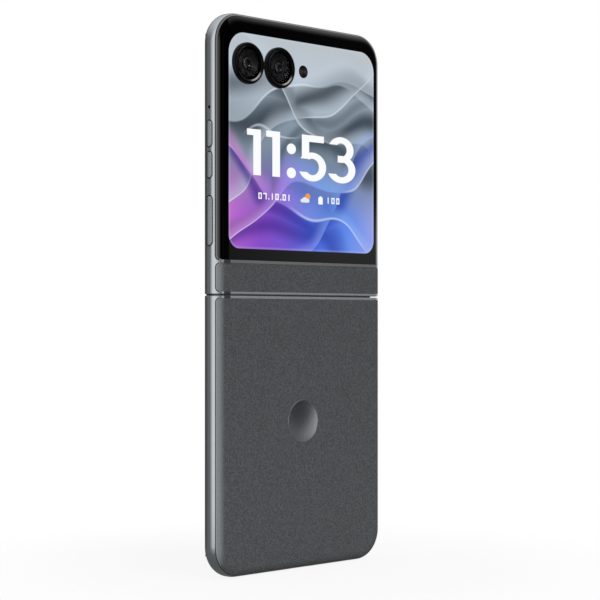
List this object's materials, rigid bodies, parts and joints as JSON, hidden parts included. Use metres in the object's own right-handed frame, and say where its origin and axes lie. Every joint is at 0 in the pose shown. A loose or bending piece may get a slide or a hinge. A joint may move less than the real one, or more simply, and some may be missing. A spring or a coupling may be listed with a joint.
{
  "type": "folding phone",
  "caption": "Clamshell folding phone with a flexible inner screen, a cover screen with cameras on the back, a geared double-axis hinge, side keys and a card tray.",
  "frame": {"origin": "middle of the unfolded phone's box at its lower end", "axes": "+Z along the unfolded phone from the lower end to the camera end, +X towards the side with the keys, -Y towards the inner screen, +Y towards the back"},
  "size_m": [0.0743, 0.0088, 0.1713],
  "materials": {
    "frame_metal": "bead-blasted anodised satin",
    "leather": "fine mottled grain, matt",
    "cover_glass": "polished, black border printed behind",
    "cover_display": "lit display under glass",
    "polished_disc": "spun satin, dished",
    "break_plastic": "moulded, matt",
    "ring_metal": "black gloss",
    "lens_glass": "coated, clear",
    "camera_black": "matt black with glass eye",
    "flash_diffuser": "ribbed diffuser",
    "led_phosphor": "phosphor",
    "bezel_plastic": "fine matt",
    "inner_display": "glossy film, off",
    "plate_steel": "fine brushed",
    "pad_rubber": "soft matt",
    "mesh_steel": "woven fine",
    "module_black": "moulded",
    "board_green": "solder mask",
    "can_steel": "pressed",
    "battery_wrap": "film wrapped",
    "copper": "enamelled copper",
    "port_steel": "drawn",
    "port_black": "moulded",
    "key_metal": "anodised satin",
    "flex_amber": "polyimide film",
    "spine_metal": "anodised satin",
    "cap_plastic": "moulded, matt",
    "hinge_steel": "machined",
    "screw_steel": "machined"
  },
  "bodies": {
    "lower_half": {"lower_frame": "frame_metal", "lower_back_cover": "leather", "metal_disc": "polished_disc", "antenna_breaks_lower": "break_plastic", "lower_bezel": "bezel_plastic", "lower_screen": "inner_display", "lower_screen_plate": "plate_steel", "bumper_pads_lower": "pad_rubber", "lower_battery": "battery_wrap", "charging_coil": "copper", "sub_board": "board_green", "port_shell": "port_steel", "port_tongue": "port_black", "loudspeaker": "module_black", "vibration_motor": "can_steel", "card_reader": "can_steel", "lower_rail_arms": "hinge_steel", "lower_screws": "screw_steel"},
    "spine": {"spine_cover": "spine_metal", "hinge_end_caps": "cap_plastic", "hinge_bases": "hinge_steel", "spine_bridge": "plate_steel", "hinge_flex": "flex_amber", "gear_shafts": "hinge_steel", "spring_discs": "hinge_steel", "fold_screen": "inner_display"},
    "upper_half": {"upper_frame": "frame_metal", "cover_glass": "cover_glass", "cover_screen": "cover_display", "upper_back_strip": "leather", "antenna_breaks_upper": "break_plastic", "main_camera_ring": "ring_metal", "wide_camera_ring": "ring_metal", "main_camera_glass": "lens_glass", "wide_camera_glass": "lens_glass", "main_camera": "camera_black", "wide_camera": "camera_black", "flash_window": "flash_diffuser", "flash_led": "led_phosphor", "upper_bezel": "bezel_plastic", "upper_screen": "inner_display", "upper_screen_plate": "plate_steel", "bumper_pads_upper": "pad_rubber", "inner_camera": "camera_black", "earpiece": "module_black", "earpiece_mesh": "mesh_steel", "main_board": "board_green", "shield_cans": "can_steel", "upper_battery": "battery_wrap", "key_board": "flex_amber", "upper_rail_arms": "hinge_steel", "upper_screws": "screw_steel"},
    "sync_upper": {"upper_sync_arms": "hinge_steel"},
    "sync_lower": {"lower_sync_arms": "hinge_steel"},
    "idler_upper": {"upper_idler_gears": "hinge_steel"},
    "idler_lower": {"lower_idler_gears": "hinge_steel"},
    "volume_up": {"volume_up_key": "key_metal"},
    "volume_down": {"volume_down_key": "key_metal"},
    "power": {"power_key": "key_metal"},
    "tray": {"card_tray": "key_metal"}
  },
  "joints": [
    {"name": "upper_fold", "type": "hinge", "parent": "spine", "child": "upper_half", "pos_m": [0, -0.00367, 0.08678], "axis": [1, 0, 0], "range_deg": [0, 90]},
    {"name": "lower_fold", "type": "hinge", "parent": "spine", "child": "lower_half", "pos_m": [0, -0.00367, 0.08453], "axis": [-1, 0, 0], "range_deg": [0, 90]},
    {"name": "upper_sync_turn", "type": "hinge", "parent": "spine", "child": "sync_upper", "pos_m": [0, -0.00169, 0.08853], "axis": [1, 0, 0], "range_deg": [0, 90]},
    {"name": "upper_idler_turn", "type": "hinge", "parent": "spine", "child": "idler_upper", "pos_m": [0, -0.00169, 0.08661], "axis": [-1, 0, 0], "range_deg": [0, 90]},
    {"name": "lower_idler_turn", "type": "hinge", "parent": "spine", "child": "idler_lower", "pos_m": [0, -0.00169, 0.08469], "axis": [1, 0, 0], "range_deg": [0, 90]},
    {"name": "lower_sync_turn", "type": "hinge", "parent": "spine", "child": "sync_lower", "pos_m": [0, -0.00169, 0.08277], "axis": [-1, 0, 0], "range_deg": [0, 90]},
    {"name": "volume_up_press", "type": "slide", "parent": "upper_half", "child": "volume_up", "axis": [-1, 0, 0], "range_m": [0, 0.0003], "stiffness_N_per_m": 3000},
    {"name": "volume_down_press", "type": "slide", "parent": "upper_half", "child": "volume_down", "axis": [-1, 0, 0], "range_m": [0, 0.0003], "stiffness_N_per_m": 3000},
    {"name": "power_press", "type": "slide", "parent": "upper_half", "child": "power", "axis": [-1, 0, 0], "range_m": [0, 0.0003], "stiffness_N_per_m": 3000},
    {"name": "card_tray_slide", "type": "slide", "parent": "lower_half", "child": "tray", "axis": [-1, 0, 0], "range_m": [0, 0.019]}
  ],
  "couplings": [
    {"joint": "lower_fold", "follows": "upper_fold", "ratio": 1},
    {"joint": "upper_sync_turn", "follows": "upper_fold", "ratio": 1},
    {"joint": "upper_idler_turn", "follows": "upper_fold", "ratio": 1},
    {"joint": "lower_idler_turn", "follows": "upper_fold", "ratio": 1},
    {"joint": "lower_sync_turn", "follows": "upper_fold", "ratio": 1}
  ]
}
